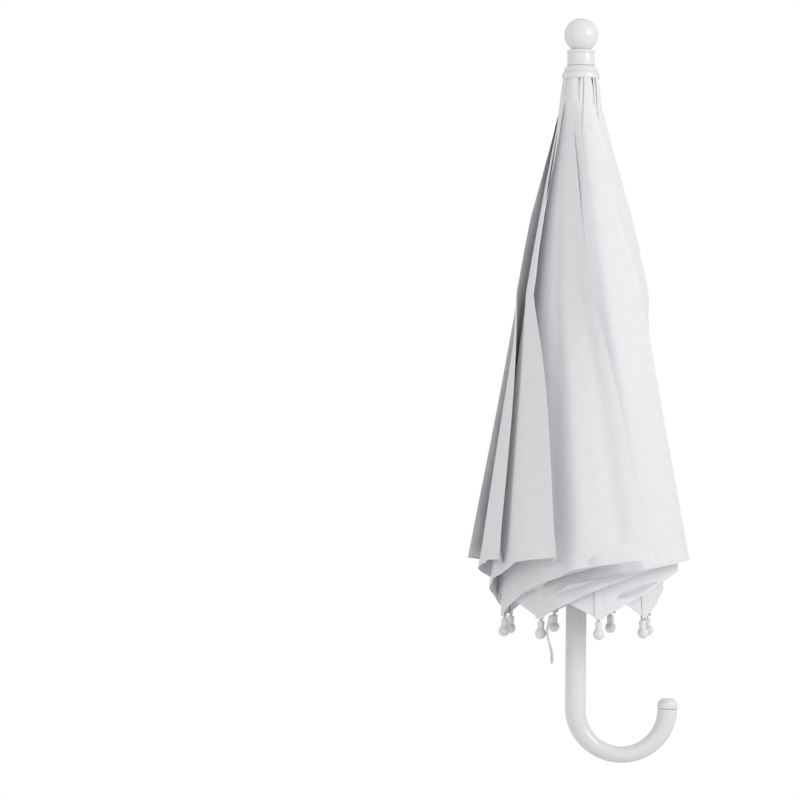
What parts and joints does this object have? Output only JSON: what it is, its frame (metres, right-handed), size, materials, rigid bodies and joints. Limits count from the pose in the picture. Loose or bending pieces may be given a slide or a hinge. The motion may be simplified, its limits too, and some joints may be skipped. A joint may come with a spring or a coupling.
{
  "type": "umbrella reflector",
  "caption": "White crook-handled stick umbrella with hinged ribs, a sliding runner, a ball finial, ball rib tips and a loose tie strap, stored closed and opening to a shallow dome.",
  "frame": {"origin": "on the shaft axis, at the grip of the handle", "axes": "+Z along the shaft towards the finial, +X towards the open end of the crook"},
  "size_m": [0.2084, 0.2053, 0.6698],
  "materials": {
    "canopy_fabric": "thin plain-weave polyester, slightly translucent",
    "strap_fabric": "doubled and stitched canopy cloth",
    "handle_plastic": "smooth moulded, semi-gloss",
    "fitting_plastic": "smooth moulded, semi-gloss",
    "shaft_steel": "bright plated tube",
    "wire_steel": "plated wire"
  },
  "bodies": {
    "shaft": {"shaft_tube": "shaft_steel", "crown_notch": "fitting_plastic", "crown_wire": "wire_steel", "canopy_cap": "fitting_plastic", "finial_ball": "fitting_plastic", "crook_handle": "handle_plastic", "handle_end_cap": "handle_plastic"},
    "runner": {"runner": "fitting_plastic"},
    "rib_1": {"rib_1": "wire_steel", "tip_ball_1": "fitting_plastic", "canopy_seam_1": "canopy_fabric"},
    "stretcher_1": {"stretcher_1": "wire_steel"},
    "pleat_outer_1": {"pleat_outer_1": "canopy_fabric"},
    "pleat_inner_1": {"pleat_inner_1": "canopy_fabric"},
    "rib_2": {"rib_2": "wire_steel", "tip_ball_2": "fitting_plastic", "canopy_seam_2": "canopy_fabric"},
    "stretcher_2": {"stretcher_2": "wire_steel"},
    "pleat_outer_2": {"pleat_outer_2": "canopy_fabric"},
    "pleat_inner_2": {"pleat_inner_2": "canopy_fabric"},
    "rib_3": {"rib_3": "wire_steel", "tip_ball_3": "fitting_plastic", "canopy_seam_3": "canopy_fabric"},
    "stretcher_3": {"stretcher_3": "wire_steel"},
    "pleat_outer_3": {"pleat_outer_3": "canopy_fabric"},
    "pleat_inner_3": {"pleat_inner_3": "canopy_fabric"},
    "rib_4": {"rib_4": "wire_steel", "tip_ball_4": "fitting_plastic", "canopy_seam_4": "canopy_fabric"},
    "stretcher_4": {"stretcher_4": "wire_steel"},
    "pleat_outer_4": {"pleat_outer_4": "canopy_fabric"},
    "pleat_inner_4": {"pleat_inner_4": "canopy_fabric"},
    "rib_5": {"rib_5": "wire_steel", "tip_ball_5": "fitting_plastic", "canopy_seam_5": "canopy_fabric"},
    "stretcher_5": {"stretcher_5": "wire_steel"},
    "pleat_outer_5": {"pleat_outer_5": "canopy_fabric"},
    "pleat_inner_5": {"pleat_inner_5": "canopy_fabric"},
    "rib_6": {"rib_6": "wire_steel", "tip_ball_6": "fitting_plastic", "canopy_seam_6": "canopy_fabric"},
    "stretcher_6": {"stretcher_6": "wire_steel"},
    "pleat_outer_6": {"pleat_outer_6": "canopy_fabric"},
    "pleat_inner_6": {"pleat_inner_6": "canopy_fabric"},
    "rib_7": {"rib_7": "wire_steel", "tip_ball_7": "fitting_plastic", "canopy_seam_7": "canopy_fabric"},
    "stretcher_7": {"stretcher_7": "wire_steel"},
    "pleat_outer_7": {"pleat_outer_7": "canopy_fabric"},
    "pleat_inner_7": {"pleat_inner_7": "canopy_fabric"},
    "rib_8": {"rib_8": "wire_steel", "tip_ball_8": "fitting_plastic", "canopy_seam_8": "canopy_fabric"},
    "stretcher_8": {"stretcher_8": "wire_steel"},
    "pleat_outer_8": {"pleat_outer_8": "canopy_fabric"},
    "pleat_inner_8": {"pleat_inner_8": "canopy_fabric"},
    "tie_strap": {"tie_strap": "strap_fabric", "tie_stud": "fitting_plastic"},
    "lower_catch": {"lower_catch": "wire_steel"},
    "upper_catch": {"upper_catch": "wire_steel"}
  },
  "joints": [
    {"name": "runner_slide", "type": "slide", "parent": "shaft", "child": "runner", "axis": [0, 0, 1], "range_m": [0, 0.22248], "deforming": ["pleat_outer_1", "pleat_inner_1", "canopy_seam_1", "pleat_outer_2", "pleat_inner_2", "canopy_seam_2", "pleat_outer_3", "pleat_inner_3", "canopy_seam_3", "pleat_outer_4", "pleat_inner_4", "canopy_seam_4", "pleat_outer_5", "pleat_inner_5", "canopy_seam_5", "pleat_outer_6", "pleat_inner_6", "canopy_seam_6", "pleat_outer_7", "pleat_inner_7", "canopy_seam_7", "pleat_outer_8", "pleat_inner_8", "canopy_seam_8", "tie_strap", "tie_stud", "lower_catch", "upper_catch"]},
    {"name": "rib_1_hinge", "type": "hinge", "parent": "shaft", "child": "rib_1", "pos_m": [0.01063, 0.00285, 0.5315], "axis": [0.2588, -0.9659, 0], "range_deg": [0, 57.51]},
    {"name": "stretcher_1_pivot", "type": "hinge", "parent": "rib_1", "child": "stretcher_1", "pos_m": [0.03382, 0.00906, 0.33805], "axis": [-0.2588, 0.9659, 0], "range_deg": [0, 115.58]},
    {"name": "pleat_outer_1_fold", "type": "hinge", "parent": "rib_1", "child": "pleat_outer_1", "pos_m": [0.0122, 0.00493, 0.53247], "axis": [0.0568, 0.1452, -0.9878], "range_deg": [0, 55.57]},
    {"name": "pleat_inner_1_fold", "type": "hinge", "parent": "rib_1", "child": "pleat_inner_1", "pos_m": [0.01299, 0.00259, 0.53221], "axis": [-0.1169, 0.037, 0.9924], "range_deg": [0, 164.42]},
    {"name": "rib_2_hinge", "type": "hinge", "parent": "shaft", "child": "rib_2", "pos_m": [0.0055, 0.00953, 0.5315], "axis": [0.866, -0.5, 0], "range_deg": [0, 57.51]},
    {"name": "stretcher_2_pivot", "type": "hinge", "parent": "rib_2", "child": "stretcher_2", "pos_m": [0.01751, 0.03032, 0.33805], "axis": [-0.866, 0.5, 0], "range_deg": [0, 115.58]},
    {"name": "pleat_outer_2_fold", "type": "hinge", "parent": "rib_2", "child": "pleat_outer_2", "pos_m": [0.00514, 0.01211, 0.53247], "axis": [-0.0625, 0.1428, -0.9878], "range_deg": [0, 59.9]},
    {"name": "pleat_inner_2_fold", "type": "hinge", "parent": "rib_2", "child": "pleat_inner_2", "pos_m": [0.00737, 0.01101, 0.53222], "axis": [-0.1099, -0.0556, 0.9924], "range_deg": [0, 162.23]},
    {"name": "rib_3_hinge", "type": "hinge", "parent": "shaft", "child": "rib_3", "pos_m": [-0.00285, 0.01063, 0.5315], "axis": [0.9659, 0.2588, 0], "range_deg": [0, 57.51]},
    {"name": "stretcher_3_pivot", "type": "hinge", "parent": "rib_3", "child": "stretcher_3", "pos_m": [-0.00906, 0.03382, 0.33805], "axis": [-0.9659, -0.2588, 0], "range_deg": [0, 115.58]},
    {"name": "pleat_outer_3_fold", "type": "hinge", "parent": "rib_3", "child": "pleat_outer_3", "pos_m": [-0.00493, 0.0122, 0.53247], "axis": [-0.1452, 0.0568, -0.9878], "range_deg": [0, 61.31]},
    {"name": "pleat_inner_3_fold", "type": "hinge", "parent": "rib_3", "child": "pleat_inner_3", "pos_m": [-0.00255, 0.013, 0.53223], "axis": [-0.0405, -0.1172, 0.9923], "range_deg": [0, 159.03]},
    {"name": "rib_4_hinge", "type": "hinge", "parent": "shaft", "child": "rib_4", "pos_m": [-0.00953, 0.0055, 0.5315], "axis": [0.5, 0.866, 0], "range_deg": [0, 57.51]},
    {"name": "stretcher_4_pivot", "type": "hinge", "parent": "rib_4", "child": "stretcher_4", "pos_m": [-0.03032, 0.01751, 0.33805], "axis": [-0.5, -0.866, 0], "range_deg": [0, 115.58]},
    {"name": "pleat_outer_4_fold", "type": "hinge", "parent": "rib_4", "child": "pleat_outer_4", "pos_m": [-0.01211, 0.00514, 0.53247], "axis": [-0.1428, -0.0625, -0.9878], "range_deg": [0, 48.11]},
    {"name": "pleat_inner_4_fold", "type": "hinge", "parent": "rib_4", "child": "pleat_inner_4", "pos_m": [-0.01099, 0.00739, 0.53223], "axis": [0.0538, -0.1121, 0.9922], "range_deg": [0, 157.99]},
    {"name": "rib_5_hinge", "type": "hinge", "parent": "shaft", "child": "rib_5", "pos_m": [-0.01063, -0.00285, 0.5315], "axis": [-0.2588, 0.9659, 0], "range_deg": [0, 57.51]},
    {"name": "stretcher_5_pivot", "type": "hinge", "parent": "rib_5", "child": "stretcher_5", "pos_m": [-0.03382, -0.00906, 0.33805], "axis": [0.2588, -0.9659, 0], "range_deg": [0, 115.58]},
    {"name": "pleat_outer_5_fold", "type": "hinge", "parent": "rib_5", "child": "pleat_outer_5", "pos_m": [-0.0122, -0.00493, 0.53247], "axis": [-0.0568, -0.1452, -0.9878], "range_deg": [0, 46.58]},
    {"name": "pleat_inner_5_fold", "type": "hinge", "parent": "rib_5", "child": "pleat_inner_5", "pos_m": [-0.01299, -0.00262, 0.53221], "axis": [0.1168, -0.0352, 0.9925], "range_deg": [0, 167.81]},
    {"name": "rib_6_hinge", "type": "hinge", "parent": "shaft", "child": "rib_6", "pos_m": [-0.0055, -0.00953, 0.5315], "axis": [-0.866, 0.5, 0], "range_deg": [0, 57.51]},
    {"name": "stretcher_6_pivot", "type": "hinge", "parent": "rib_6", "child": "stretcher_6", "pos_m": [-0.01751, -0.03032, 0.33805], "axis": [0.866, -0.5, 0], "range_deg": [0, 115.58]},
    {"name": "pleat_outer_6_fold", "type": "hinge", "parent": "rib_6", "child": "pleat_outer_6", "pos_m": [-0.00514, -0.01211, 0.53247], "axis": [0.0625, -0.1428, -0.9878], "range_deg": [0, 57.03]},
    {"name": "pleat_inner_6_fold", "type": "hinge", "parent": "rib_6", "child": "pleat_inner_6", "pos_m": [-0.00733, -0.01104, 0.5322], "axis": [0.107, 0.0581, 0.9926], "range_deg": [0, 168.96]},
    {"name": "rib_7_hinge", "type": "hinge", "parent": "shaft", "child": "rib_7", "pos_m": [0.00285, -0.01063, 0.5315], "axis": [-0.9659, -0.2588, 0], "range_deg": [0, 57.51]},
    {"name": "stretcher_7_pivot", "type": "hinge", "parent": "rib_7", "child": "stretcher_7", "pos_m": [0.00906, -0.03382, 0.33805], "axis": [0.9659, 0.2588, 0], "range_deg": [0, 115.58]},
    {"name": "pleat_outer_7_fold", "type": "hinge", "parent": "rib_7", "child": "pleat_outer_7", "pos_m": [0.00493, -0.0122, 0.53247], "axis": [0.1452, -0.0568, -0.9878], "range_deg": [0, 55.57]},
    {"name": "pleat_inner_7_fold", "type": "hinge", "parent": "rib_7", "child": "pleat_inner_7", "pos_m": [0.00257, -0.013, 0.53222], "axis": [0.0391, 0.1171, 0.9924], "range_deg": [0, 161.15]},
    {"name": "rib_8_hinge", "type": "hinge", "parent": "shaft", "child": "rib_8", "pos_m": [0.00953, -0.0055, 0.5315], "axis": [-0.5, -0.866, 0], "range_deg": [0, 57.51]},
    {"name": "stretcher_8_pivot", "type": "hinge", "parent": "rib_8", "child": "stretcher_8", "pos_m": [0.03032, -0.01751, 0.33805], "axis": [0.5, 0.866, 0], "range_deg": [0, 115.58]},
    {"name": "pleat_outer_8_fold", "type": "hinge", "parent": "rib_8", "child": "pleat_outer_8", "pos_m": [0.01211, -0.00514, 0.53247], "axis": [0.1428, 0.0625, -0.9878], "range_deg": [0, 52.62]},
    {"name": "pleat_inner_8_fold", "type": "hinge", "parent": "rib_8", "child": "pleat_inner_8", "pos_m": [0.01101, -0.00737, 0.53222], "axis": [-0.0556, 0.1099, 0.9924], "range_deg": [0, 162.23]},
    {"name": "tie_strap_hang", "type": "hinge", "parent": "rib_6", "child": "tie_strap", "pos_m": [-0.02577, -0.06264, 0.0531], "axis": [0.866, -0.5, 0], "range_deg": [0, 57.51]},
    {"name": "lower_catch_press", "type": "slide", "parent": "shaft", "child": "lower_catch", "axis": [-0.7934, -0.6088, 0], "range_m": [0, 0.0024], "stiffness_N_per_m": 300},
    {"name": "upper_catch_press", "type": "slide", "parent": "shaft", "child": "upper_catch", "axis": [-0.7934, -0.6088, 0], "range_m": [0, 0.0024], "stiffness_N_per_m": 300}
  ],
  "couplings": [
    {"joint": "rib_1_hinge", "follows": "runner_slide", "rad_per_m": 4.5108},
    {"joint": "stretcher_1_pivot", "follows": "runner_slide", "rad_per_m": 9.066},
    {"joint": "pleat_outer_1_fold", "follows": "runner_slide", "rad_per_m": 4.3589},
    {"joint": "pleat_inner_1_fold", "follows": "runner_slide", "rad_per_m": 12.898},
    {"joint": "rib_2_hinge", "follows": "runner_slide", "rad_per_m": 4.5108},
    {"joint": "stretcher_2_pivot", "follows": "runner_slide", "rad_per_m": 9.066},
    {"joint": "pleat_outer_2_fold", "follows": "runner_slide", "rad_per_m": 4.6981},
    {"joint": "pleat_inner_2_fold", "follows": "runner_slide", "rad_per_m": 12.726},
    {"joint": "rib_3_hinge", "follows": "runner_slide", "rad_per_m": 4.5108},
    {"joint": "stretcher_3_pivot", "follows": "runner_slide", "rad_per_m": 9.066},
    {"joint": "pleat_outer_3_fold", "follows": "runner_slide", "rad_per_m": 4.8089},
    {"joint": "pleat_inner_3_fold", "follows": "runner_slide", "rad_per_m": 12.475},
    {"joint": "rib_4_hinge", "follows": "runner_slide", "rad_per_m": 4.5108},
    {"joint": "stretcher_4_pivot", "follows": "runner_slide", "rad_per_m": 9.066},
    {"joint": "pleat_outer_4_fold", "follows": "runner_slide", "rad_per_m": 3.7735},
    {"joint": "pleat_inner_4_fold", "follows": "runner_slide", "rad_per_m": 12.393},
    {"joint": "rib_5_hinge", "follows": "runner_slide", "rad_per_m": 4.5108},
    {"joint": "stretcher_5_pivot", "follows": "runner_slide", "rad_per_m": 9.066},
    {"joint": "pleat_outer_5_fold", "follows": "runner_slide", "rad_per_m": 3.6537},
    {"joint": "pleat_inner_5_fold", "follows": "runner_slide", "rad_per_m": 13.164},
    {"joint": "rib_6_hinge", "follows": "runner_slide", "rad_per_m": 4.5108},
    {"joint": "stretcher_6_pivot", "follows": "runner_slide", "rad_per_m": 9.066},
    {"joint": "pleat_outer_6_fold", "follows": "runner_slide", "rad_per_m": 4.4731},
    {"joint": "pleat_inner_6_fold", "follows": "runner_slide", "rad_per_m": 13.254},
    {"joint": "rib_7_hinge", "follows": "runner_slide", "rad_per_m": 4.5108},
    {"joint": "stretcher_7_pivot", "follows": "runner_slide", "rad_per_m": 9.066},
    {"joint": "pleat_outer_7_fold", "follows": "runner_slide", "rad_per_m": 4.3589},
    {"joint": "pleat_inner_7_fold", "follows": "runner_slide", "rad_per_m": 12.641},
    {"joint": "rib_8_hinge", "follows": "runner_slide", "rad_per_m": 4.5108},
    {"joint": "stretcher_8_pivot", "follows": "runner_slide", "rad_per_m": 9.066},
    {"joint": "pleat_outer_8_fold", "follows": "runner_slide", "rad_per_m": 4.1276},
    {"joint": "pleat_inner_8_fold", "follows": "runner_slide", "rad_per_m": 12.726},
    {"joint": "tie_strap_hang", "follows": "runner_slide", "rad_per_m": 4.5108}
  ]
}
